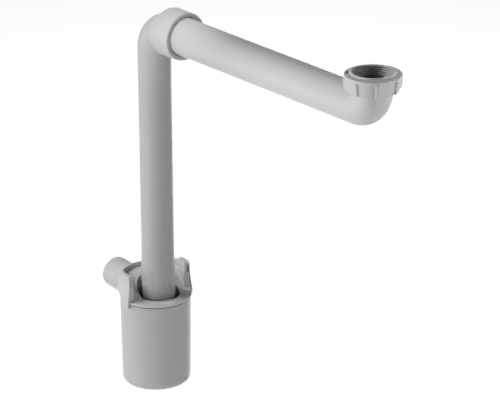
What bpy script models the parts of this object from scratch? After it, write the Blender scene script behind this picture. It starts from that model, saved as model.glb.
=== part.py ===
"""Space-saving sink trap: a deep cup with a wall outlet, a clipped cover, a dip tube that slides
and turns in it, and a long arm with a union nut for the basin waste. Metres, +Z up. The origin is
the centre of the wall outlet spigot's end, and the spigot points along -X."""

from math import cos, pi, radians, sin, sqrt

import bmesh
import bpy

# Cup and wall outlet
SPIGOT_REACH = 0.0863
SPIGOT_HEIGHT = 0.099
SPIGOT_RADIUS = 0.0172
SPIGOT_WALL = 0.002
CUP_SETBACK = 0.0065
CUP_BASE_RADIUS = 0.0372
CUP_RIM_RADIUS = 0.0385
CUP_WALL = 0.0022
CUP_FLOOR = 0.0025
CUP_EDGE_RADIUS = 0.008
FRONT_RIM_HEIGHT = 0.0985
REAR_RIM_RISE = 0.0008
RIM_RAMP_FRONT = 0.004
RIM_RAMP_REAR = -0.019
CATCH_HEIGHT = 0.0012
CATCH_SWEEP_DEG = 14.0

# Cover
SEAL_THICKNESS = 0.001
SEAL_WIDTH = 0.0016
DECK_THICKNESS = 0.0022
DECK_RAMP_FRONT = 0.0045
DECK_RAMP_REAR = -0.027
FLANGE_OVERHANG = 0.0013
COVER_INSET = 0.0018
FLANGE_THICKNESS = 0.0018
SHOULDER_SIDE = 0.0325
WALL_START_DEG = 77.0
WALL_THICKNESS = 0.0026
WALL_SIDE_HEIGHT = 0.0092
WALL_REAR_HEIGHT = 0.0045
WALL_FALL_FRONT = -0.016
WALL_FALL_REAR = -0.040
SKIRT_DEPTH = 0.0045
SKIRT_THICKNESS = 0.0018
OPENING_RADIUS = 0.023
SLEEVE_WALL = 0.0024
SLEEVE_DEPTH = 0.0125
SLEEVE_FLOOR = 0.0022
LIP_WIDTH = 0.0014
LIP_RISE = 0.0009

# Squeeze clips
CLIP_START_DEG = 76.0
CLIP_SWEEP_DEG = 30.0
BACKING_START_DEG = 76.7
BACKING_SWEEP_DEG = 24.0
CLIP_GAP = 0.0019
CLIP_THICKNESS = 0.0016
CLIP_RISE = 0.0018
CLIP_CORNER = 0.0035
CLIP_FLARE = 0.0031
WEB_DROP = 0.0012
WEB_THICKNESS = 0.003
HOOK_THICKNESS = 0.0012

# Dip tube with its elbow and socket
TUBE_RADIUS = 0.01795
TUBE_WALL = 0.002
TUBE_END_HEIGHT = 0.018
TUBE_BEND_RADIUS = 0.026
ARM_HEIGHT = 0.4063
SOCKET_RADIUS = 0.0258
SOCKET_SHOULDER = 0.007
SOCKET_LENGTH = 0.0279
SOCKET_FLOOR = 0.002
SOCKET_EDGE = 0.0015
GROOVE_DEPTH = 0.0028
GROOVE_WIDTH = 0.006
GROOVE_INSET = 0.006
LIP_RING_HEIGHT = 0.006

# Arm with its end elbow and nose, washer and nut
ARM_SWING_DEG = 5.0
ARM_RADIUS = 0.020
ARM_WALL = 0.0022
ARM_BEND_RADIUS = 0.0206
ARM_REACH = 0.3436
ARM_STOP_GAP = 0.0035
SOCKET_CLEARANCE = 0.0006
NOSE_RADIUS = 0.0182
NOSE_HEIGHT = 0.005
NOSE_BORE = 0.016
BEAD_RISE = 0.0011
BEAD_HEIGHT = 0.0018
WASHER_THICKNESS = 0.0025
WASHER_BORE = 0.0155
THREAD_MAJOR_RADIUS = 0.02096
THREAD_MINOR_RADIUS = 0.01948
NUT_TOP_RADIUS = 0.0288
NUT_BOTTOM_RADIUS = 0.0267
NUT_HEIGHT = 0.0165
NUT_FLOOR = 0.0024
NUT_LIP_RISE = 0.0024
NUT_LIP_WIDTH = 0.0022
NUT_EDGE = 0.0011
RIB_COUNT = 8
RIB_WIDTH = 0.003
RIB_RISE = 0.0014
RIB_TOP_INSET = 0.004
RIB_PHASE_DEG = 12.5

GAP = 0.0003
SEGMENTS = 48
CUP_SEGMENTS = 72
BEND_STEPS = 10
TINY = 1e-6

# Sizes that follow from the ones above, from the cup's base and the dip tube's axis
CUP_AXIS = -CUP_SETBACK
REAR_RIM_HEIGHT = SPIGOT_HEIGHT + SPIGOT_RADIUS + REAR_RIM_RISE
COVER_LIFT = SEAL_THICKNESS + 2 * GAP
FRONT_DECK = FRONT_RIM_HEIGHT + COVER_LIFT + DECK_THICKNESS
REAR_DECK = REAR_RIM_HEIGHT + COVER_LIFT + DECK_THICKNESS
COVER_RADIUS = CUP_RIM_RADIUS - COVER_INSET
FLANGE_RADIUS = CUP_RIM_RADIUS + FLANGE_OVERHANG
PLUG_RADIUS = CUP_RIM_RADIUS - CUP_WALL - GAP
SLEEVE_BOTTOM = FRONT_RIM_HEIGHT - SLEEVE_DEPTH
BELOW_ALL = SLEEVE_BOTTOM - 2 * SKIRT_DEPTH
ABOVE_ALL = max(FRONT_DECK, REAR_DECK) + 2 * WALL_SIDE_HEIGHT + CLIP_RISE
OUTSIDE = FLANGE_RADIUS + CLIP_GAP + 2 * CLIP_THICKNESS
FRONT_END = CUP_AXIS + OUTSIDE
REAR_END = CUP_AXIS - OUTSIDE
SOCKET_BORE = ARM_RADIUS + SOCKET_CLEARANCE
NUT_BASE = ARM_BEND_RADIUS + GAP
NOSE_TOP = ARM_BEND_RADIUS + NOSE_HEIGHT


def material(name, color, roughness):
    made = bpy.data.materials.new(name)
    made.use_nodes = True
    shader = made.node_tree.nodes["Principled BSDF"]
    shader.inputs["Base Color"].default_value = (*color, 1.0)
    shader.inputs["Roughness"].default_value = roughness
    shader.inputs["Metallic"].default_value = 0.0
    return made


def empty(name, parent=None, place=(0, 0, 0), turn=0.0):
    made = bpy.data.objects.new(name, None)
    bpy.context.scene.collection.objects.link(made)
    made.parent = parent
    made.location = place
    made.rotation_euler = (0, 0, turn)
    return made


def loft(name, loops, parent, look=None, cyclic=False, flat=True):
    """Skins a row of equal loops of points into one closed body, in triangles unless it is flat."""
    mesh = bmesh.new()
    rows = [[mesh.verts.new(point) for point in loop] for loop in loops]
    if cyclic:
        rows.append(rows[0])
    else:
        mesh.faces.new(rows[0])
        mesh.faces.new(rows[-1])
    for one, other in zip(rows, rows[1:]):
        for step in range(len(one)):
            mesh.faces.new((one[step - 1], one[step], other[step], other[step - 1]))
    bmesh.ops.remove_doubles(mesh, verts=mesh.verts, dist=TINY)
    loose = [edge for edge in mesh.edges if not edge.link_faces]
    bmesh.ops.delete(mesh, geom=loose, context="EDGES")
    if not flat:
        bmesh.ops.triangulate(mesh, faces=mesh.faces)
    bmesh.ops.recalc_face_normals(mesh, faces=mesh.faces)
    data = bpy.data.meshes.new(name)
    mesh.to_mesh(data)
    mesh.free()
    if look:
        data.materials.append(look)
    data.shade_smooth()
    data.set_sharp_from_angle(angle=radians(35))
    made = bpy.data.objects.new(name, data)
    bpy.context.scene.collection.objects.link(made)
    made.parent = parent
    return made


def turned(name, profile, parent, centre=0.0, turns=None, count=SEGMENTS, look=None):
    """Turns a closed (radius, height) profile round an upright axis, or over the listed turns only.
    A height may be a function of x, so that a ring can follow the stepped rim."""
    cyclic = turns is None
    loops = []
    for turn in turns or [2 * pi * step / count for step in range(count)]:
        loop = []
        for radius, height in profile:
            x = centre + radius * cos(turn)
            loop.append((x, radius * sin(turn), height(x) if callable(height) else height))
        loops.append(loop)
    flat = not any(callable(height) for _, height in profile)
    return loft(name, loops, parent, look, cyclic, flat)


def cup_ring(name, inner, outer, low, high, parent, look=None):
    profile = [(inner, low), (outer, low), (outer, high), (inner, high)]
    return turned(name, profile, parent, CUP_AXIS, count=CUP_SEGMENTS, look=look)


def rod(name, radius, low, high, parent, centre=0.0, count=SEGMENTS):
    profile = [(0, low), (radius, low), (radius, high), (0, high)]
    return turned(name, profile, parent, centre, count=count)


def level_rod(name, radius, low, high, height, parent):
    """A round blank or cutter that lies along X."""
    turns = [2 * pi * step / SEGMENTS for step in range(SEGMENTS)]
    loops = [[(x, radius * cos(t), height + radius * sin(t)) for t in turns] for x in (low, high)]
    return loft(name, loops, parent)


def plate(name, outline, parent, side=(-OUTSIDE, OUTSIDE)):
    """Pushes a closed (x, z) outline along Y, from one side to the other."""
    return loft(name, [[(x, y, z) for x, z in outline] for y in side], parent)


def boolean(target, tool, operation="DIFFERENCE"):
    """Adds one live Boolean and hides its tool."""
    made = target.modifiers.new(tool.name, "BOOLEAN")
    made.operation = operation
    made.solver = "EXACT"
    made.object = tool
    tool.hide_render = True
    tool.display_type = "WIRE"


def bent_point(distance, run, bend_radius):
    """Place and heading on a centre line: a straight run, a quarter bend, then straight on."""
    arc = bend_radius * pi / 2
    if distance <= run:
        return distance, 0.0, 0.0
    if distance <= run + arc:
        angle = (distance - run) / bend_radius
        return run + bend_radius * sin(angle), bend_radius * (1 - cos(angle)), angle
    return run + bend_radius, bend_radius + distance - run - arc, pi / 2


def through_bend(sections, run, bend_radius):
    """The (distance, radius) sections of a skin, with more of them round the bend."""
    arc = bend_radius * pi / 2
    found = list(sections)
    for step in range(BEND_STEPS + 1):
        distance = run + arc * step / BEND_STEPS
        for (near, r_near), (far, r_far) in zip(sections, sections[1:]):
            if near + GAP < distance < far - GAP:
                share = (distance - near) / (far - near)
                found.append((distance, r_near + (r_far - r_near) * share))
    return sorted(found, key=lambda section: section[0])


def pipe(name, path, run, bend_radius, place, parent, look):
    """Turns a closed (distance, radius) path round a bent centre line. place maps a point along the
    centre line, its offset to the bend's side and its y to the three coordinates."""
    loops = []
    for step in range(SEGMENTS):
        turn = 2 * pi * step / SEGMENTS
        loop = []
        for distance, radius in path:
            along, aside, angle = bent_point(distance, run, bend_radius)
            out = radius * sin(turn)
            loop.append(place(along - out * sin(angle), aside + out * cos(angle), radius * cos(turn)))
        loops.append(loop)
    return loft(name, loops, parent, look, cyclic=True)


def quarter(centre, radius_x, radius_y, start, steps=4, way=1):
    """Points of a quarter ellipse, from the angle start onwards, or backwards where way is -1."""
    turns = [start + way * pi / 2 * step / steps for step in range(steps + 1)]
    return [(centre[0] + radius_x * cos(t), centre[1] + radius_y * sin(t)) for t in turns]


def ramp(x, front, rear, low, high):
    """Height of a ramp that climbs from low at front to high at rear, with eased ends."""
    share = min(max((front - x) / (front - rear), 0.0), 1.0)
    return low + (high - low) * (share - sin(2 * pi * share) / (2 * pi) * 0.35)


def rim_height(x):
    return ramp(x, RIM_RAMP_FRONT, RIM_RAMP_REAR, FRONT_RIM_HEIGHT, REAR_RIM_HEIGHT)


def deck_height(x):
    return ramp(x, DECK_RAMP_FRONT, DECK_RAMP_REAR, FRONT_DECK, REAR_DECK)


def wall_height(x):
    fall = WALL_REAR_HEIGHT - WALL_SIDE_HEIGHT
    return REAR_DECK + WALL_SIDE_HEIGHT + ramp(x, WALL_FALL_FRONT, WALL_FALL_REAR, 0, fall)


def over(height, offset):
    """The same height function, moved up by offset."""
    return lambda x: height(x) + offset


def deck_line(offset, front=FRONT_END, rear=REAR_END, steps=14):
    """The decks and their ramp in side view, moved up by offset, from front to rear."""
    inside = [DECK_RAMP_FRONT + (DECK_RAMP_REAR - DECK_RAMP_FRONT) * k / steps for k in range(steps + 1)]
    places = [front] + [x for x in inside if rear < x < front] + [rear]
    return [(x, deck_height(x) + offset) for x in places]


def trap_body(frame, look):
    """The cup with its spigot and catches, hollowed out, with its wall cut to the stepped rim."""
    middle = (CUP_BASE_RADIUS - CUP_EDGE_RADIUS, CUP_EDGE_RADIUS)
    edge = quarter(middle, CUP_EDGE_RADIUS, CUP_EDGE_RADIUS, -pi / 2, 6)
    inside = CUP_RIM_RADIUS - 2 * CUP_WALL
    top = [(CUP_RIM_RADIUS, rim_height), (inside, rim_height), (0, FRONT_RIM_HEIGHT / 2)]
    body = turned("trap_body", [(0, 0)] + edge + top, frame, CUP_AXIS, count=CUP_SEGMENTS, look=look)
    start = -SPIGOT_REACH
    stop = CUP_AXIS - CUP_RIM_RADIUS / 2
    boolean(body, level_rod("spigot_blank", SPIGOT_RADIUS, start, stop, SPIGOT_HEIGHT, frame), "UNION")
    root = CUP_RIM_RADIUS - CUP_WALL / 2
    catch = [
        (root, over(rim_height, -CATCH_HEIGHT - FLANGE_OVERHANG)),
        (FLANGE_RADIUS, over(rim_height, -CATCH_HEIGHT)),
        (FLANGE_RADIUS, over(rim_height, -GAP)),
        (root, over(rim_height, -GAP)),
    ]
    for side in (1, -1):
        turns = [side * radians(CLIP_START_DEG + CATCH_SWEEP_DEG * k / 6) for k in range(7)]
        boolean(body, turned(f"catch_{side}", catch, frame, CUP_AXIS, turns), "UNION")
    bore = SPIGOT_RADIUS - SPIGOT_WALL
    boolean(body, level_rod("spigot_bore", bore, start - SPIGOT_WALL, stop, SPIGOT_HEIGHT, frame))
    bend = CUP_EDGE_RADIUS - CUP_WALL
    middle = (CUP_BASE_RADIUS - CUP_EDGE_RADIUS, CUP_FLOOR + bend)
    hollow = [(0, CUP_FLOOR)] + quarter(middle, bend, bend, -pi / 2, 4)
    hollow += [(CUP_RIM_RADIUS - CUP_WALL, REAR_RIM_HEIGHT + GAP), (0, REAR_RIM_HEIGHT + GAP)]
    boolean(body, turned("cup_hollow", hollow, frame, CUP_AXIS, count=CUP_SEGMENTS))


def clip_profile():
    """Section of a clip: squeeze plate, web to the cover, lower arm that flares out, and hook."""
    inner = COVER_RADIUS + CLIP_GAP
    outer = inner + CLIP_THICKNESS
    top = REAR_DECK + WALL_SIDE_HEIGHT + CLIP_RISE
    web = max(FRONT_DECK, REAR_DECK) - WEB_DROP
    front_end = CUP_AXIS + inner * cos(radians(CLIP_START_DEG))
    rear_end = CUP_AXIS + inner * cos(radians(CLIP_START_DEG + CLIP_SWEEP_DEG))
    hook_top = over(rim_height, -CATCH_HEIGHT - FLANGE_OVERHANG / 2 - GAP)
    hook_bottom = over(hook_top, -HOOK_THICKNESS)

    def rounded_top(x):
        inset = max(min(front_end - x, x - rear_end, CLIP_CORNER), 0.0)
        return top - CLIP_CORNER + sqrt(CLIP_CORNER**2 - (CLIP_CORNER - inset) ** 2)

    def web_bottom(x):
        return max(web - WEB_THICKNESS, rim_height(x) + COVER_LIFT + GAP)

    def arm_top(x):
        return min(rim_height(x) + COVER_LIFT + FLANGE_THICKNESS + GAP, web_bottom(x))

    return [
        (inner, rounded_top),
        (outer - CLIP_THICKNESS / 3, rounded_top),
        (outer, over(rounded_top, -CLIP_THICKNESS / 3)),
        (outer, web),
        (outer + CLIP_FLARE, over(hook_bottom, HOOK_THICKNESS / 2)),
        (outer + CLIP_FLARE * 0.8, hook_bottom),
        (CUP_RIM_RADIUS + 1.5 * GAP, hook_bottom),
        (CUP_RIM_RADIUS + 1.5 * GAP, over(hook_top, -HOOK_THICKNESS / 2)),
        (FLANGE_RADIUS + 1.5 * GAP, hook_top),
        (FLANGE_RADIUS + 1.5 * GAP, arm_top),
        (inner, web_bottom),
        (COVER_RADIUS - 1.5 * GAP, web_bottom),
        (COVER_RADIUS - 1.5 * GAP, web),
        (inner, web),
    ]


def clip_backing():
    """Section of the cover's sloping boss that fills the space behind a clip's lower arm."""
    low = over(rim_height, COVER_LIFT + FLANGE_THICKNESS / 2)
    web = max(FRONT_DECK, REAR_DECK) - WEB_DROP - WEB_THICKNESS / 2

    def high(x):
        return max(web, low(x) + FLANGE_THICKNESS)

    return [
        (COVER_RADIUS - 2 * GAP, low),
        (FLANGE_RADIUS - GAP / 3, low),
        (FLANGE_RADIUS - GAP / 3, over(low, FLANGE_THICKNESS / 2 + GAP / 3)),
        (COVER_RADIUS + CLIP_GAP - 1.5 * GAP, high),
        (COVER_RADIUS - 2 * GAP, high),
    ]


def trap_cover(frame, look):
    """The stepped lid: rim ring, decks with their ramp, shoulders, wall, sleeve and clips."""
    under = over(rim_height, COVER_LIFT)
    wall_inner = COVER_RADIUS - WALL_THICKNESS
    ledge = wall_inner - 2 * GAP

    def ring_top(x):
        return max(deck_height(x), under(x) + DECK_THICKNESS) - GAP / 2

    rim = [
        (PLUG_RADIUS - SKIRT_THICKNESS, over(under, -SKIRT_DEPTH)),
        (PLUG_RADIUS, over(under, -SKIRT_DEPTH)),
        (PLUG_RADIUS, under),
        (FLANGE_RADIUS, under),
        (FLANGE_RADIUS, over(under, FLANGE_THICKNESS)),
        (COVER_RADIUS, over(under, FLANGE_THICKNESS)),
        (COVER_RADIUS, ring_top),
        (ledge, ring_top),
        (ledge, over(under, 2 * GAP)),
        (PLUG_RADIUS - SKIRT_THICKNESS, over(under, 2 * GAP)),
    ]
    cover = turned("trap_cover", rim, frame, CUP_AXIS, count=CUP_SEGMENTS, look=look)
    pan = plate("pan", deck_line(0) + deck_line(-DECK_THICKNESS)[::-1], frame)
    pan_edge = rod("pan_edge", PLUG_RADIUS + GAP / 3, BELOW_ALL, ABOVE_ALL, frame, CUP_AXIS, CUP_SEGMENTS)
    boolean(pan, pan_edge, "INTERSECT")
    boolean(cover, pan, "UNION")
    wall = [
        (wall_inner, over(under, GAP)),
        (COVER_RADIUS - GAP / 3, over(under, GAP)),
        (COVER_RADIUS - GAP / 3, wall_height),
        (wall_inner, wall_height),
    ]
    ends = (radians(WALL_START_DEG), radians(360 - WALL_START_DEG))
    turns = [2 * pi * step / CUP_SEGMENTS for step in range(CUP_SEGMENTS)]
    turns = [ends[0]] + [turn for turn in turns if ends[0] + TINY < turn < ends[1] - TINY] + [ends[1]]
    boolean(cover, turned("wall", wall, frame, CUP_AXIS, turns), "UNION")
    front = CUP_AXIS + COVER_RADIUS * cos(radians(WALL_START_DEG)) - GAP
    for side in (1, -1):
        block = deck_line(-DECK_THICKNESS / 2, front, DECK_RAMP_REAR)
        block += [(DECK_RAMP_REAR, REAR_DECK), (front, REAR_DECK)]
        reach = (side * SHOULDER_SIDE, side * OUTSIDE)
        edge = wall_inner + GAP / 2
        shoulder = rod(f"shoulder_{side}", edge, BELOW_ALL, ABOVE_ALL, frame, CUP_AXIS, CUP_SEGMENTS)
        boolean(shoulder, plate(f"shoulder_block_{side}", block, frame, reach), "INTERSECT")
        boolean(cover, shoulder, "UNION")

    foot = [(REAR_END, SLEEVE_BOTTOM), (FRONT_END, SLEEVE_BOTTOM)]
    sleeve = rod("sleeve", OPENING_RADIUS + SLEEVE_WALL, BELOW_ALL, ABOVE_ALL, frame)
    boolean(sleeve, plate("sleeve_band", deck_line(-2 * GAP) + foot, frame), "INTERSECT")
    boolean(cover, sleeve, "UNION")
    foot = [(REAR_END, SLEEVE_BOTTOM + GAP), (FRONT_END, SLEEVE_BOTTOM + GAP)]
    lip = rod("lip", OPENING_RADIUS + LIP_WIDTH, BELOW_ALL, ABOVE_ALL, frame)
    boolean(lip, plate("lip_band", deck_line(LIP_RISE) + foot, frame), "INTERSECT")
    boolean(cover, lip, "UNION")
    for side in (1, -1):
        turns = [side * radians(BACKING_START_DEG + BACKING_SWEEP_DEG * k / 6) for k in range(7)]
        boolean(cover, turned(f"clip_backing_{side}", clip_backing(), frame, CUP_AXIS, turns), "UNION")
        sweep = [(1 - cos(pi * k / 12)) / 2 for k in range(13)]
        turns = [side * radians(CLIP_START_DEG + CLIP_SWEEP_DEG * share) for share in sweep]
        boolean(cover, turned(f"clip_{side}", clip_profile(), frame, CUP_AXIS, turns), "UNION")
    boolean(cover, rod("opening", OPENING_RADIUS, SLEEVE_BOTTOM + SLEEVE_FLOOR, ABOVE_ALL, frame))
    hole = TUBE_RADIUS + 2 * GAP
    boolean(cover, rod("tube_hole", hole, BELOW_ALL, SLEEVE_BOTTOM + 2 * SLEEVE_FLOOR, frame))


def lip_ring(inner, outer, low, height):
    """Section of a lip seal: a body that fills its groove and a lip that leans on the tube."""
    waist = inner + (outer - inner) * 0.35
    return [
        (waist, low),
        (outer, low),
        (outer, low + height),
        (waist, low + height),
        (inner, low + height * 0.75),
        (inner, low + height * 0.6),
        (waist, low + height * 0.35),
    ]


def dip_tube(frame, look):
    """Upright tube, top elbow and socket in one. Its centre line starts at the lower end."""
    run = ARM_HEIGHT - TUBE_BEND_RADIUS - TUBE_END_HEIGHT
    elbow_end = run + TUBE_BEND_RADIUS * pi / 2
    bore = TUBE_RADIUS - TUBE_WALL
    socket_end = elbow_end + SOCKET_LENGTH
    shoulder = elbow_end - SOCKET_SHOULDER / 2
    rise = SOCKET_RADIUS - TUBE_RADIUS
    outer = [(0, TUBE_RADIUS - GAP), (2 * GAP, TUBE_RADIUS)]
    outer += quarter((shoulder + SOCKET_SHOULDER, TUBE_RADIUS), -SOCKET_SHOULDER, rise, 0, 6)
    middle = (socket_end - SOCKET_EDGE, SOCKET_RADIUS - SOCKET_EDGE)
    outer += quarter(middle, SOCKET_EDGE, SOCKET_EDGE, pi / 2, 3, -1)
    groove = socket_end - GROOVE_INSET
    stop = elbow_end + SOCKET_FLOOR
    inner = [
        (0, bore),
        (stop, bore),
        (stop, SOCKET_BORE),
        (groove - GROOVE_WIDTH, SOCKET_BORE),
        (groove - GROOVE_WIDTH, SOCKET_BORE + GROOVE_DEPTH),
        (groove, SOCKET_BORE + GROOVE_DEPTH),
        (groove, SOCKET_BORE),
        (socket_end - 3 * GAP, SOCKET_BORE),
        (socket_end, SOCKET_BORE + 3 * GAP),
    ]
    path = through_bend(outer, run, TUBE_BEND_RADIUS) + through_bend(inner, run, TUBE_BEND_RADIUS)[::-1]

    def place(along, aside, y):
        return aside, y, TUBE_END_HEIGHT + along

    pipe("dip_tube", path, run, TUBE_BEND_RADIUS, place, frame, look)


def socket_seal(frame, look):
    low = TUBE_BEND_RADIUS + SOCKET_LENGTH - GROOVE_INSET - GROOVE_WIDTH + GAP
    section = lip_ring(ARM_RADIUS + GAP, SOCKET_BORE + GROOVE_DEPTH - GAP, low, GROOVE_WIDTH - 2 * GAP)
    path = [(distance, radius) for radius, distance in section]
    pipe("socket_seal", path, 1.0, 1.0, lambda along, aside, y: (along, y, aside), frame, look)


def outlet_arm(frame, look):
    """Level tube, end elbow and nose in one. Its centre line starts inside the socket."""
    start = TUBE_BEND_RADIUS + SOCKET_FLOOR + ARM_STOP_GAP
    run = ARM_REACH - ARM_BEND_RADIUS - start
    neck = run + ARM_BEND_RADIUS * pi / 2
    end = neck + NOSE_HEIGHT
    bore = ARM_RADIUS - ARM_WALL
    bead = NOSE_RADIUS + BEAD_RISE
    outer = [
        (0, ARM_RADIUS - 3 * GAP),
        (5 * GAP, ARM_RADIUS),
        (neck, ARM_RADIUS),
        (neck, NOSE_RADIUS),
        (end - BEAD_HEIGHT - GAP, NOSE_RADIUS),
        (end - BEAD_HEIGHT, bead),
        (end - 2 * GAP, bead),
        (end, NOSE_RADIUS),
    ]
    inner = [(0, bore), (neck - 0.006, bore), (neck - 0.001, NOSE_BORE), (end, NOSE_BORE)]
    path = through_bend(outer, run, ARM_BEND_RADIUS) + through_bend(inner, run, ARM_BEND_RADIUS)[::-1]

    def place(along, aside, y):
        return start + along, y, aside

    pipe("outlet_arm", path, run, ARM_BEND_RADIUS, place, frame, look)


def union_nut(frame, look):
    """The captive nut: floor with a snap lip, undercut, threaded mouth, sloping top and grip ribs."""
    low, high = NUT_BASE, NUT_BASE + NUT_HEIGHT
    lip_bore = NOSE_RADIUS + GAP
    lip_outer = THREAD_MAJOR_RADIUS
    thread_low = NOSE_TOP + WASHER_THICKNESS + 2 * GAP
    top = high + NUT_LIP_RISE
    profile = [
        (lip_bore, low),
        (NUT_BOTTOM_RADIUS - NUT_EDGE, low),
        (NUT_BOTTOM_RADIUS, low + NUT_EDGE),
        (NUT_TOP_RADIUS, high - NUT_EDGE),
        (NUT_TOP_RADIUS - NUT_EDGE, high),
        (lip_outer + NUT_LIP_WIDTH, top),
        (lip_outer, top),
        (THREAD_MINOR_RADIUS, top - (lip_outer - THREAD_MINOR_RADIUS)),
        (THREAD_MINOR_RADIUS, thread_low),
        (lip_outer, thread_low - (lip_outer - THREAD_MINOR_RADIUS) / 2),
        (lip_outer, low + NUT_FLOOR),
        (lip_bore, low + NUT_FLOOR),
    ]
    nut = turned("union_nut", profile, frame, look=look)
    slope = (NUT_TOP_RADIUS - NUT_BOTTOM_RADIUS) / NUT_HEIGHT
    half = RIB_WIDTH / 2
    rib_top = NUT_HEIGHT - RIB_TOP_INSET
    levels = [(GAP, RIB_RISE - GAP), (3 * GAP, RIB_RISE), (rib_top - RIB_RISE, RIB_RISE), (rib_top, 0)]
    for number in range(RIB_COUNT):
        turn = radians(RIB_PHASE_DEG) + 2 * pi * number / RIB_COUNT
        loops = []
        for rise, depth in levels:
            wall = NUT_BOTTOM_RADIUS + slope * rise
            root, crest = wall - NUT_FLOOR, wall + depth
            loop = []
            for out, across in ((root, -half), (crest, -0.8 * half), (crest, 0.8 * half), (root, half)):
                x = out * cos(turn) - across * sin(turn)
                loop.append((x, out * sin(turn) + across * cos(turn), low + rise))
            loops.append(loop)
        boolean(nut, loft(f"rib_{number}", loops, frame), "UNION")


def main():
    for old in list(bpy.data.objects):
        bpy.data.objects.remove(old, do_unlink=True)
    body_look = material("body grey plastic", (0.52, 0.52, 0.52), 0.38)
    cover_look = material("cover grey plastic", (0.54, 0.54, 0.54), 0.36)
    tube_look = material("tube grey plastic", (0.54, 0.54, 0.54), 0.32)
    arm_look = material("arm grey plastic", (0.54, 0.54, 0.54), 0.32)
    nut_look = material("nut grey plastic", (0.56, 0.56, 0.56), 0.34)
    looks = {
        name: material(f"{name} rubber", (0.05, 0.05, 0.05), 0.7)
        for name in ("cover_seal", "tube_seal", "socket_seal", "nut_washer")
    }

    frame = empty("cup_base", place=(SPIGOT_REACH, 0, -SPIGOT_HEIGHT))
    trap_body(frame, body_look)
    trap_cover(frame, cover_look)
    outer = CUP_RIM_RADIUS - GAP
    low, high = over(rim_height, GAP), over(rim_height, GAP + SEAL_THICKNESS)
    cup_ring("cover_seal", outer - SEAL_WIDTH, outer, low, high, frame, looks["cover_seal"])

    tube_axis = empty("tube_axis", frame, turn=radians(ARM_SWING_DEG))
    dip_tube(tube_axis, tube_look)
    low = SLEEVE_BOTTOM + SLEEVE_FLOOR + GAP
    section = lip_ring(TUBE_RADIUS + GAP, OPENING_RADIUS - GAP, low, LIP_RING_HEIGHT)
    turned("tube_seal", section, tube_axis, look=looks["tube_seal"])

    arm_axis = empty("arm_axis", tube_axis, (0, 0, ARM_HEIGHT))
    socket_seal(arm_axis, looks["socket_seal"])
    outlet_arm(arm_axis, arm_look)
    nut_axis = empty("nut_axis", arm_axis, (ARM_REACH, 0, 0))
    low = NOSE_TOP + GAP
    outer = THREAD_MINOR_RADIUS - GAP
    high = low + WASHER_THICKNESS
    washer = [(WASHER_BORE, low), (outer, low), (outer, high), (WASHER_BORE, high)]
    turned("nut_washer", washer, nut_axis, look=looks["nut_washer"])
    union_nut(nut_axis, nut_look)


main()
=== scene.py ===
from math import cos, pi, radians, sin

import bmesh
import bpy
import numpy as np
from mathutils import Matrix, Vector


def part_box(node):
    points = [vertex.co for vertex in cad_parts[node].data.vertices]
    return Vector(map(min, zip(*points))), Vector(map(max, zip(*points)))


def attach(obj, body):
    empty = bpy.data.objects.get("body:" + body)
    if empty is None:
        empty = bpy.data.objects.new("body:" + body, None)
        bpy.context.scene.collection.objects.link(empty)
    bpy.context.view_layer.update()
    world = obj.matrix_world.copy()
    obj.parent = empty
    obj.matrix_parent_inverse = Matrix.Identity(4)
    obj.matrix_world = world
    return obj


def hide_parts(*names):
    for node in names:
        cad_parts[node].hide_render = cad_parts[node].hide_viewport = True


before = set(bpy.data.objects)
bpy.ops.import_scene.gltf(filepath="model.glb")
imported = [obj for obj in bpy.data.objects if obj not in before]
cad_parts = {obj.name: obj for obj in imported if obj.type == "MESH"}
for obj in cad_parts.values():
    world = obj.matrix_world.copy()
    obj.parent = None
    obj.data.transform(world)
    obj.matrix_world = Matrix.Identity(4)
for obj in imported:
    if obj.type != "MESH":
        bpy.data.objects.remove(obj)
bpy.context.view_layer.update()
print("frame loaded")

# the camera stands in front of the long arm's end, well away, and looks down on the trap
camera = {
    "place": (2.7738, -1.7137, 1.3617),
    "yaw": 145.7,
    "pitch": -21.44,
    "roll": -0.38,
    "lens": 232.06,
    "sensor": 36,
    "sight": 20,
}


def makeCamera(spec):
    yaw, pitch, roll = (radians(spec[name]) for name in ("yaw", "pitch", "roll"))
    ahead = Vector((cos(yaw) * cos(pitch), sin(yaw) * cos(pitch), sin(pitch)))
    level = Vector((sin(yaw), -cos(yaw), 0))
    upright = level.cross(ahead)
    right = cos(roll) * level + sin(roll) * upright
    up = -sin(roll) * level + cos(roll) * upright
    data = bpy.data.cameras.new("photoCamera")
    data.lens = spec["lens"]
    data.sensor_width = spec["sensor"]
    data.clip_end = spec["sight"]
    made = bpy.data.objects.new("photoCamera", data)
    turn = Matrix((right, up, -ahead)).transposed().to_4x4()
    made.matrix_world = Matrix.Translation(spec["place"]) @ turn
    bpy.context.scene.collection.objects.link(made)
    bpy.context.scene.camera = made


makeCamera(camera)


class Signal:
    # wraps a node socket, so that plain arithmetic on it adds Math nodes
    def __init__(self, board, socket):
        self.board, self.socket = board, socket

    def joined(self, operation, first, second):
        return self.board.node("ShaderNodeMath", {"operation": operation}, {0: first, 1: second})

    def __add__(self, other):
        return self.joined("ADD", self, other)

    def __radd__(self, other):
        return self.joined("ADD", other, self)

    def __sub__(self, other):
        return self.joined("SUBTRACT", self, other)

    def __rsub__(self, other):
        return self.joined("SUBTRACT", other, self)

    def __mul__(self, other):
        return self.joined("MULTIPLY", self, other)

    def __rmul__(self, other):
        return self.joined("MULTIPLY", other, self)


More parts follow.
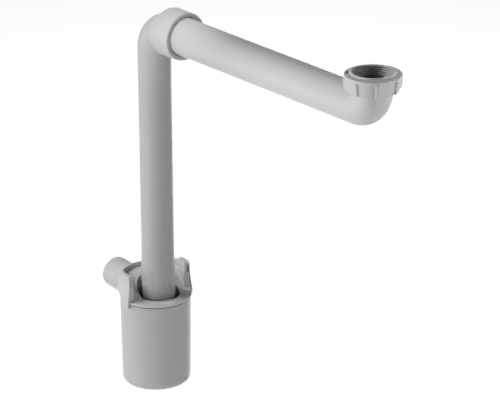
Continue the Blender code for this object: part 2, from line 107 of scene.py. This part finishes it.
class Board:
    # one node tree, of a material or of the room, and the shader that its nodes feed
    def __init__(self, owner, shader):
        owner.use_nodes = True
        self.nodes = owner.node_tree.nodes
        self.links = owner.node_tree.links
        self.shader = self.nodes[shader]

    def node(self, kind, settings, inputs, output=0):
        made = self.nodes.new(kind)
        for setting, value in settings.items():
            setattr(made, setting, value)
        for socket, value in inputs.items():
            if isinstance(value, Signal):
                self.links.new(value.socket, made.inputs[socket])
            else:
                made.inputs[socket].default_value = value
        return Signal(self, made.outputs[output])

    def feed(self, socket, signal):
        self.links.new(signal.socket, self.shader.inputs[socket])


class Finish(Board):
    # one material: its shader, its constants and the nodes that vary over the surface
    def __init__(self, name, color, constants):
        self.material = bpy.data.materials.new(name)
        super().__init__(self.material, "Principled BSDF")
        self.shader.inputs["Base Color"].default_value = (*color, 1)
        for socket, value in constants.items():
            self.shader.inputs[socket].default_value = value


# soft boxes look at the middle of the trap, soft spots lift single pieces, and the back light
# whitens the floor far behind
studio = {
    "target": (0.22, 0.0, 0.1),
    "boxes": {
        "left": {"place": (-1.1, -1.5, 0.0), "size": 1.2, "power": 41},
        "frontLeft": {"place": (-0.1, -1.9, -0.1), "size": 1.2, "power": 9},
        "front": {"place": (1.6, -1.4, 0.1), "size": 1.0, "power": 4},
        "below": {"place": (1.2, -1.1, -1.1), "size": 1.0, "power": 10},
        "upper": {"place": (-0.6, -1.3, 1.6), "size": 1.2, "power": 64},
        "far": {"place": (1.6, 0.9, 1.2), "size": 0.8, "power": 8},
    },
    "spots": {
        "socket": {
            "place": (0.3, -1.2, 1.2), "aim": (0.145, 0.005, 0.318),
            "soft": 0.04, "cone": 4.6, "power": 430,
        },
        "nutLeft": {
            "place": (-0.4, -1.2, 0.2), "aim": (0.44, 0.04, 0.335),
            "soft": 0.15, "cone": 7, "power": 1150,
        },
        "nutRight": {
            "place": (1.2, 0.9, 0.3), "aim": (0.43, 0.03, 0.33),
            "soft": 0.15, "cone": 8, "power": 960,
        },
        "nutRear": {
            "place": (1.1, 1.2, 0.3), "aim": (0.43, 0.03, 0.33),
            "soft": 0.15, "cone": 10, "power": 43,
        },
        "spigot": {
            "place": (-0.9, -0.7, 0.8), "aim": (0.01, 0.0, 0.0),
            "soft": 0.15, "cone": 7, "power": 380,
        },
        "arm": {
            "place": (0.1, -1.4, -0.6), "aim": (0.3, 0.02, 0.305),
            "soft": 0.15, "cone": 15, "power": 250,
        },
        "back": {
            "place": (-3.46, 2.54, 1.6), "aim": (-3.46, 2.54, -1.6),
            "soft": 0.15, "cone": 100, "power": 9500,
        },
    },
    "room": {"level": 0.7, "overhead": 0.07, "from": 0.1, "to": 0.6},
    "floor": {"height": -1.6, "half": 30, "grey": 0.9, "rough": 0.9, "glow": 0.55},
}


def makeLight(name, kind, place, target, power, settings):
    data = bpy.data.lights.new(name + "Light", kind)
    data.energy = power
    for setting, value in settings.items():
        setattr(data, setting, value)
    made = bpy.data.objects.new(name + "Light", data)
    made.location = place
    made.rotation_euler = (Vector(target) - made.location).to_track_quat("-Z", "Y").to_euler()
    bpy.context.scene.collection.objects.link(made)


def makeRoom(spec):
    # the room's walls are pale, and its ceiling is dark: the level fades with the height looked at
    world = bpy.data.worlds.new("studioRoom")
    board = Board(world, "Background")
    way = board.node("ShaderNodeTexCoord", {}, {}, "Generated")
    ends = {
        "Value": board.node("ShaderNodeSeparateXYZ", {}, {0: way}, "Z"),
        "From Min": spec["from"],
        "From Max": spec["to"],
        "To Min": spec["level"],
        "To Max": spec["overhead"],
    }
    board.feed("Strength", board.node("ShaderNodeMapRange", {"interpolation_type": "SMOOTHSTEP"}, ends))
    board.shader.inputs["Color"].default_value = (1, 1, 1, 1)
    bpy.context.scene.world = world


def makeFloor(spec):
    half, height = spec["half"], spec["height"]
    corners = [(-half, -half, height), (half, -half, height), (half, half, height), (-half, half, height)]
    mesh = bpy.data.meshes.new("floor")
    mesh.from_pydata(corners, [], [(0, 1, 2, 3)])
    floor = bpy.data.objects.new("floor", mesh)
    bpy.context.scene.collection.objects.link(floor)
    paper = {"Roughness": spec["rough"], "Emission Color": (1, 1, 1, 1), "Emission Strength": spec["glow"]}
    mesh.materials.append(Finish("palePaper", (spec["grey"],) * 3, paper).material)


def makeStudio(spec):
    for name, box in spec["boxes"].items():
        settings = {"shape": "DISK", "size": box["size"]}
        makeLight(name, "AREA", box["place"], spec["target"], box["power"], settings)
    for name, spot in spec["spots"].items():
        settings = {"spot_size": radians(spot["cone"]), "spot_blend": 1.0, "shadow_soft_size": spot["soft"]}
        makeLight(name, "SPOT", spot["place"], spot["aim"], spot["power"], settings)
    makeRoom(spec["room"])
    makeFloor(spec["floor"])


makeStudio(studio)
print("camera and studio made")

# each grey moulding's tone, sheen, cloudiness, orange peel and the reach of its softened edges
plastics = {
    "body": {"grey": 0.285, "rough": 0.42, "cloud": 0.03, "peel": 0.12, "edge": 0.0010},
    "cover": {"grey": 0.385, "rough": 0.40, "cloud": 0.03, "peel": 0.10, "edge": 0.0009},
    "tube": {"grey": 0.236, "rough": 0.36, "cloud": 0.025, "peel": 0.08, "edge": 0},
    "arm": {"grey": 0.225, "rough": 0.52, "cloud": 0.025, "peel": 0.08, "edge": 0},
    "nut": {"grey": 0.225, "rough": 0.40, "cloud": 0.03, "peel": 0.12, "edge": 0},
}

# what all the grey mouldings share
moulding = {
    "ior": 1.47,
    "specular": 0.3,
    "cloudNoise": {"Scale": 26, "Detail": 3, "Roughness": 0.5},
    "grainNoise": {"Scale": 900, "Detail": 2, "Roughness": 0.6},
    "cloudSheen": 0.06,
    "grainSheen": 0.08,
    "grainShare": 0.4,
    "relief": 0.0004,
    "bevelSamples": 8,
}


def greyPlastic(name, spec):
    # satin grey moulding: faint cloudy tone, fine grain in the sheen and a very shallow orange peel
    grey, rough = spec["grey"], spec["rough"]
    constants = {"IOR": moulding["ior"], "Roughness": rough, "Specular IOR Level": moulding["specular"]}
    made = Finish(name, (grey, grey, grey), constants)
    place = made.node("ShaderNodeTexCoord", {}, {}, "Object")
    cloud = made.node("ShaderNodeTexNoise", {}, {"Vector": place, **moulding["cloudNoise"]})
    grain = made.node("ShaderNodeTexNoise", {}, {"Vector": place, **moulding["grainNoise"]})
    tone = cloud * spec["cloud"] + (grey - spec["cloud"] / 2)
    made.feed("Base Color", made.node("ShaderNodeCombineColor", {}, {0: tone, 1: tone, 2: tone}))
    duller = rough - (moulding["grainSheen"] + moulding["cloudSheen"]) / 2
    made.feed("Roughness", grain * moulding["grainSheen"] + cloud * moulding["cloudSheen"] + duller)
    height = grain * moulding["grainShare"] + cloud * (1 - moulding["grainShare"])
    relief = {"Strength": spec["peel"], "Distance": moulding["relief"], "Height": height}
    if spec["edge"]:
        samples = {"samples": moulding["bevelSamples"]}
        relief["Normal"] = made.node("ShaderNodeBevel", samples, {"Radius": spec["edge"]}, "Normal")
    made.feed("Normal", made.node("ShaderNodeBump", {}, relief, "Normal"))
    return made.material


rubber = {
    "shade": 0.03,
    "rough": 0.6,
    "ior": 1.5,
    "bloom": 0.05,
    "bloomNoise": {"Scale": 60, "Detail": 4, "Roughness": 0.6},
    "pitNoise": {"Scale": 1400, "Detail": 2, "Roughness": 0.7},
    "pitSheen": 0.15,
    "sheenDrop": 0.07,
    "relief": {"Strength": 0.25, "Distance": 0.0003},
}


def darkRubber(name, spec):
    # moulded rubber: fine pits, a faint pale bloom where the noise is high, soft sheen
    shade = spec["shade"]
    made = Finish(name, (shade, shade, shade), {"IOR": spec["ior"], "Roughness": spec["rough"]})
    place = made.node("ShaderNodeTexCoord", {}, {}, "Object")
    bloom = made.node("ShaderNodeTexNoise", {}, {"Vector": place, **spec["bloomNoise"]})
    pits = made.node("ShaderNodeTexNoise", {}, {"Vector": place, **spec["pitNoise"]})
    tone = bloom * bloom * spec["bloom"] + shade
    made.feed("Base Color", made.node("ShaderNodeCombineColor", {}, {0: tone, 1: tone, 2: tone}))
    made.feed("Roughness", pits * spec["pitSheen"] + (spec["rough"] - spec["sheenDrop"]))
    made.feed("Normal", made.node("ShaderNodeBump", {}, {**spec["relief"], "Height": pits}, "Normal"))
    return made.material


looks = {name: greyPlastic(name + "Plastic", spec) for name, spec in plastics.items()}
looks["seal"] = darkRubber("sealRubber", rubber)
print("materials made")


def rounded(corners, steps=7, most=0.45):
    # closed outline from (x, y, reach) corners: a quadratic curve cuts each corner off from one
    # side to the other, starting and ending its reach away, and takes at most a share of a side
    corners = np.array(corners)
    places, reach = corners[:, :2], corners[:, 2:]
    back = np.roll(places, 1, axis=0) - places
    ahead = np.roll(places, -1, axis=0) - places
    backLength = np.linalg.norm(back, axis=1, keepdims=True)
    aheadLength = np.linalg.norm(ahead, axis=1, keepdims=True)
    reach = np.minimum(reach, most * np.minimum(backLength, aheadLength))
    start = (places + back / backLength * reach)[:, None]
    end = (places + ahead / aheadLength * reach)[:, None]
    t = np.linspace(0, 1, steps)[None, :, None]
    return ((1 - t) ** 2 * start + 2 * t * (1 - t) * places[:, None] + t**2 * end).reshape(-1, 2)


def refined(outline, spacing):
    # the same closed outline, its long stretches cut into equal pieces no longer than spacing
    ahead = np.roll(outline, -1, axis=0) - outline
    counts = np.maximum(np.ceil(np.linalg.norm(ahead, axis=1) / spacing), 1).astype(int)
    first = np.repeat(np.cumsum(counts) - counts, counts)
    share = (np.arange(counts.sum()) - first) / np.repeat(counts, counts)
    return np.repeat(outline, counts, axis=0) + share[:, None] * np.repeat(ahead, counts, axis=0)


def wholeTurn(turns):
    # equal steps of angle round one whole turn, as a row
    return np.arange(turns)[None] * 2 * pi / turns


def turnedGrid(radius, height, turn):
    # radius and height turned about the upright axis: x = r cos t, y = r sin t
    return np.stack([radius * np.cos(turn), radius * np.sin(turn), height + 0 * turn], axis=-1)


def bentGrid(outline, run, bend, turns):
    # (distance, radius) outline turned about a centre line that runs straight, turns a quarter
    # round the bend's radius, then runs straight on; gives along, aside and level coordinates
    turn = wholeTurn(turns)
    distance, radius = outline[:, :1], outline[:, 1:]
    angle = np.clip((distance - run) / bend, 0, pi / 2)
    along = np.minimum(distance, run) + bend * np.sin(angle)
    aside = bend * (1 - np.cos(angle)) + np.maximum(distance - run - bend * pi / 2, 0)
    out = radius * np.sin(turn)
    return along - out * np.sin(angle), aside + out * np.cos(angle), radius * np.cos(turn)


def eased(share):
    # smooth step: 3 s squared minus 2 s cubed, with s held between 0 and 1
    share = np.clip(share, 0, 1)
    return share * share * (3 - 2 * share)


def moved(points, swing, place):
    # turns the points about the upright axis by swing degrees, then shifts them
    angle = radians(swing)
    turn = np.array([[cos(angle), sin(angle), 0], [-sin(angle), cos(angle), 0], [0, 0, 1]])
    return points @ turn + np.array(place)


def footOf(node):
    # the middle of a CAD node's underside, and its width and height
    lowest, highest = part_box(node)
    centre = ((lowest[0] + highest[0]) / 2, (lowest[1] + highest[1]) / 2, lowest[2])
    return centre, highest[0] - lowest[0], highest[2] - lowest[2]


def addPiece(name, points, look, body, node, weld=1e-6):
    # joins a grid of points, closed both ways, into one smooth quad mesh that rides on its body
    rows, columns = points.shape[:2]
    index = np.arange(rows * columns).reshape(rows, columns)
    below, beside = np.roll(index, -1, axis=0), np.roll(index, -1, axis=1)
    corner = np.roll(below, -1, axis=1)
    quads = np.stack([index, beside, corner, below], axis=-1).reshape(-1, 4)
    mesh = bpy.data.meshes.new(name)
    mesh.from_pydata(points.reshape(-1, 3).tolist(), [], quads.tolist())
    work = bmesh.new()
    work.from_mesh(mesh)
    bmesh.ops.remove_doubles(work, verts=work.verts, dist=weld)
    bmesh.ops.recalc_face_normals(work, faces=work.faces)
    work.to_mesh(mesh)
    work.free()
    mesh.shade_smooth()
    mesh.materials.append(looks[look])
    made = bpy.data.objects.new(name, mesh)
    bpy.context.scene.collection.objects.link(made)
    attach(made, body)
    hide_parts(node)


# where the dip tube's axis meets the cup's base, the arm's height above it and reach from it,
# and the arm's swing from the spigot's line in degrees
layout = {"swing": 5.0, "tubeFoot": (0.0863, 0.0, -0.099), "armLevel": 0.4063, "armReach": 0.3436}

# upright tube with its elbow and socket: lengths run along the centre line from the lower end,
# and each ease is the reach of a rounded corner
tubeSpec = {
    "foot": 0.018,
    "radius": 0.01795,
    "wall": 0.002,
    "endEase": 0.0007,
    "bend": 0.026,
    "shoulder": 0.007,
    "shoulderShare": 0.55,
    "shoulderEase": 0.0032,
    "socketRadius": 0.0258,
    "socketLength": 0.0279,
    "socketWall": 0.0052,
    "lipEase": 0.0017,
    "mouthEase": 0.0009,
    "grooveDepth": 0.0028,
    "grooveWidth": 0.006,
    "grooveInset": 0.006,
    "grooveEase": 0.0003,
    "floorEase": 0.0004,
    "turns": 128,
    "spacing": 0.0014,
}


def makeDipTube(spec):
    # the half section, outside from the foot to the lip and inside back again, bent and turned
    run = layout["armLevel"] - spec["bend"] - spec["foot"]
    elbowEnd = run + spec["bend"] * pi / 2
    end = elbowEnd + spec["socketLength"]
    rise = elbowEnd - spec["shoulder"] / 2
    bore = spec["radius"] - spec["wall"]
    wide = spec["socketRadius"] - spec["socketWall"]
    deep = wide + spec["grooveDepth"]
    groove = end - spec["grooveInset"]
    floor = elbowEnd + spec["wall"]
    outline = rounded([
        (0, spec["radius"], spec["endEase"]),
        (rise, spec["radius"], spec["shoulderEase"]),
        (rise + spec["shoulder"] * spec["shoulderShare"], spec["socketRadius"], spec["shoulderEase"]),
        (end, spec["socketRadius"], spec["lipEase"]),
        (end, wide, spec["mouthEase"]),
        (groove, wide, spec["grooveEase"]),
        (groove, deep, spec["grooveEase"]),
        (groove - spec["grooveWidth"], deep, spec["grooveEase"]),
        (groove - spec["grooveWidth"], wide, spec["grooveEase"]),
        (floor, wide, spec["floorEase"]),
        (floor, bore, spec["floorEase"]),
        (0, bore, spec["endEase"]),
    ])
    grid = refined(outline, spec["spacing"])
    along, aside, level = bentGrid(grid, run, spec["bend"], spec["turns"])
    points = np.stack([aside, level, spec["foot"] + along], axis=-1)
    points = moved(points, layout["swing"], layout["tubeFoot"])
    addPiece("dipTube", points, "tube", "tube", "dip_tube")


makeDipTube(tubeSpec)

# long arm with its end elbow and nose: lengths run along the centre line from inside the socket
armSpec = {
    "start": 0.0315,
    "startEase": 0.0012,
    "radius": 0.020,
    "wall": 0.0022,
    "boreEase": 0.0007,
    "bend": 0.0206,
    "noseRadius": 0.0182,
    "noseBore": 0.016,
    "noseHeight": 0.005,
    "sharpEase": 0.0003,
    "edgeEase": 0.0004,
    "beadRise": 0.0011,
    "beadHeight": 0.0018,
    "beadLean": 0.0005,
    "beadEase": 0.0008,
    "taperTop": {"depth": 0.001, "ease": 0.0015},
    "taperFoot": {"depth": 0.006, "ease": 0.002},
    "turns": 128,
    "spacing": 0.0014,
}


def makeOutletArm(spec):
    # the half section, outside from the socket to the nose's bead and inside back again through
    # the taper under the nose, bent and turned
    run = layout["armReach"] - spec["bend"] - spec["start"]
    neck = run + spec["bend"] * pi / 2
    end = neck + spec["noseHeight"]
    bore = spec["radius"] - spec["wall"]
    bead = spec["noseRadius"] + spec["beadRise"]
    taperTop, taperFoot = spec["taperTop"], spec["taperFoot"]
    outline = rounded([
        (0, spec["radius"], spec["startEase"]),
        (neck, spec["radius"], spec["edgeEase"]),
        (neck, spec["noseRadius"], spec["sharpEase"]),
        (end - spec["beadHeight"], spec["noseRadius"], spec["sharpEase"]),
        (end - spec["beadHeight"], bead, spec["edgeEase"]),
        (end, bead - spec["beadLean"], spec["beadEase"]),
        (end, spec["noseBore"], spec["edgeEase"]),
        (neck - taperTop["depth"], spec["noseBore"], taperTop["ease"]),
        (neck - taperFoot["depth"], bore, taperFoot["ease"]),
        (0, bore, spec["boreEase"]),
    ])
    grid = refined(outline, spec["spacing"])
    along, aside, level = bentGrid(grid, run, spec["bend"], spec["turns"])
    points = np.stack([spec["start"] + along, level, aside + layout["armLevel"]], axis=-1)
    points = moved(points, layout["swing"], layout["tubeFoot"])
    addPiece("outletArm", points, "arm", "arm", "outlet_arm")


makeOutletArm(armSpec)
print("tube and arm made")

# union nut: radii and heights are measured from its own axis and its underside
nutSpec = {
    "bottomRadius": 0.0267,
    "topRadius": 0.0288,
    "height": 0.0165,
    "recess": 0.0006,
    "edge": 0.0010,
    "softEase": 0.0004,
    "sharpEase": 0.0003,
    "bandHeight": 0.0030,
    "bandRise": 0.0010,
    "bandInset": 0.0003,
    "lip": {"rise": 0.0024, "width": 0.0009, "foot": 0.0011, "footShare": 0.28, "ease": 0.0006},
    "floor": 0.0024,
    "neckBore": 0.0185,
    "thread": {
        "major": 0.02096,
        "minor": 0.01948,
        "start": 0.0078,
        "pitch": 0.002309,
        "depthShare": 0.92,
        "lead": 0.0009,
        "fade": 0.0012,
    },
    "rib": {
        "count": 8,
        "phase": 17.5,
        "width": 0.003,
        "rise": 0.0012,
        "flank": 0.0004,
        "foot": 0.0005,
        "top": 0.0140,
        "wallShare": 0.6,
    },
    "dimple": {
        "radius": 0.0246,
        "turn": -130,
        "size": 0.0018,
        "stretch": 2.2,
        "depth": 0.0045,
        "steep": 2.5,
    },
    "turns": 512,
    "spacing": 0.0005,
}


def nutOutline(spec):
    # half section: underside, recessed wall, band, sloping top, lip, bore with its lead-in, floor
    lip, thread = spec["lip"], spec["thread"]
    high, major, minor = spec["height"], thread["major"], thread["minor"]
    soft, sharp = spec["softEase"], spec["sharpEase"]
    top = high + lip["rise"]
    band = spec["topRadius"] - spec["bandInset"]
    bandFoot = high - spec["bandHeight"]
    return rounded([
        (spec["neckBore"], 0, soft),
        (spec["bottomRadius"] - spec["recess"], 0, spec["edge"]),
        (band - spec["bandRise"], bandFoot, soft),
        (band, bandFoot + spec["bandRise"], soft),
        (spec["topRadius"], high, spec["edge"]),
        (major + lip["width"] + lip["foot"], high + lip["rise"] * lip["footShare"], lip["ease"]),
        (major + lip["width"], top, lip["ease"]),
        (major, top, lip["ease"]),
        (minor, top - (major - minor), soft),
        (minor, thread["start"], sharp),
        (major, thread["start"] - (major - minor) / 2, sharp),
        (major, spec["floor"], sharp),
        (spec["neckBore"], spec["floor"], sharp),
    ])


def ribRise(radius, height, turn, spec):
    # the arc distance to the nearest rib's middle gives its flanks, and the height its ends; the
    # crests lie on a cone outside the recessed wall
    rib = spec["rib"]
    step = 2 * pi / rib["count"]
    offset = np.abs((turn - radians(rib["phase"]) + step / 2) % step - step / 2) * radius
    flank = eased((rib["width"] / 2 - offset) / rib["flank"] + 0.5)
    ends = eased(height / rib["foot"]) * eased((rib["top"] - height) / rib["rise"])
    outside = radius > spec["bottomRadius"] - spec["recess"] - spec["edge"] * rib["wallShare"]
    slope = (spec["topRadius"] - spec["bottomRadius"]) / spec["height"]
    crest = spec["bottomRadius"] + rib["rise"] + slope * height
    return (crest - radius) * flank * ends * outside


def threadDepth(radius, height, turn, spec):
    # one cosine groove a pitch, which climbs one pitch a turn and fades out at its ends
    thread = spec["thread"]
    deep = thread["major"] - thread["minor"]
    top = spec["height"] + spec["lip"]["rise"]
    inside = (radius < thread["minor"] + deep / 2) & (height > thread["start"])
    room = np.minimum(height - thread["start"], top - thread["lead"] - height)
    groove = 0.5 - 0.5 * np.cos(2 * pi * (height / thread["pitch"] - turn / (2 * pi)))
    return deep * thread["depthShare"] * groove * eased(room / thread["fade"]) * inside


def dimpleDepth(radius, height, turn, spec):
    # a small oval pit in the sloping top, longer round the nut than across its edge: its depth
    # eases out with the distance from its middle
    pit = spec["dimple"]
    around = (turn - radians(pit["turn"]) + pi) % (2 * pi) - pi
    away = np.hypot(radius - pit["radius"], around * radius / pit["stretch"])
    share = eased(pit["steep"] * (1 - away / pit["size"]))
    return pit["depth"] * share * (height > spec["height"] - spec["edge"])


def makeUnionNut(spec):
    # the half section turned round the nut's axis, with the ribs and the thread added to its
    # radius and the dimple taken from its height
    centre = footOf("union_nut")[0]
    grid = refined(nutOutline(spec), spec["spacing"])
    radius, height = grid[:, :1], grid[:, 1:]
    turn = wholeTurn(spec["turns"])
    worked = radius + ribRise(radius, height, turn, spec) + threadDepth(radius, height, turn, spec)
    points = turnedGrid(worked, height - dimpleDepth(worked, height, turn, spec), turn)
    addPiece("unionNut", moved(points, 0, centre), "nut", "nut", "union_nut")


makeUnionNut(nutSpec)

# rubber rings, set on their CAD nodes' boxes: the seal leans inwards to a lip, and the washer has
# round grooves in its top face
ringSpec = {
    "nutWasher": {
        "node": "nut_washer", "body": "arm",
        "wall": 0.0037, "lean": 0, "grooves": 2, "grooveDepth": 0.00012,
    },
    "tubeSeal": {
        "node": "tube_seal", "body": "sleeve_ring",
        "wall": 0.0045, "lean": 0.35, "grooves": 0, "grooveDepth": 0,
    },
}
ringShape = {
    "footEase": 0.0003,
    "outerEase": 0.0005,
    "innerEase": 0.0004,
    "lipTop": 0.72,
    "lipFoot": 0.6,
    "face": 1e-5,
    "turns": 96,
    "spacing": 0.0002,
}


def makeRing(name, spec, shape):
    # the half section turned round the ring's axis; a cosine wave of the radius presses the
    # grooves into its top face
    centre, width, height = footOf(spec["node"])
    outer = width / 2
    inner = outer - spec["wall"]
    lean = spec["lean"] * spec["wall"]
    outline = rounded([
        (inner + lean, 0, shape["footEase"]),
        (outer, 0, shape["outerEase"]),
        (outer, height, shape["outerEase"]),
        (inner + lean, height, shape["innerEase"]),
        (inner, height * shape["lipTop"], shape["innerEase"]),
        (inner, height * shape["lipFoot"], shape["innerEase"]),
    ])
    grid = refined(outline, shape["spacing"])
    radius, level = grid[:, :1], grid[:, 1:]
    wave = 0.5 - 0.5 * np.cos(2 * pi * spec["grooves"] * (radius - inner) / spec["wall"])
    level = np.where(level > height - shape["face"], level - spec["grooveDepth"] * wave, level)
    points = turnedGrid(radius, level, wholeTurn(shape["turns"]))
    addPiece(name, moved(points, 0, centre), "seal", spec["body"], spec["node"])


for name, spec in ringSpec.items():
    makeRing(name, spec, ringShape)
print("nut and rings made")

# CAD nodes whose shape is right keep it and take a material
kept = {"trap_body": "body", "trap_cover": "cover", "cover_seal": "seal", "socket_seal": "seal"}
for node, look in kept.items():
    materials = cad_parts[node].data.materials
    materials.clear()
    materials.append(looks[look])
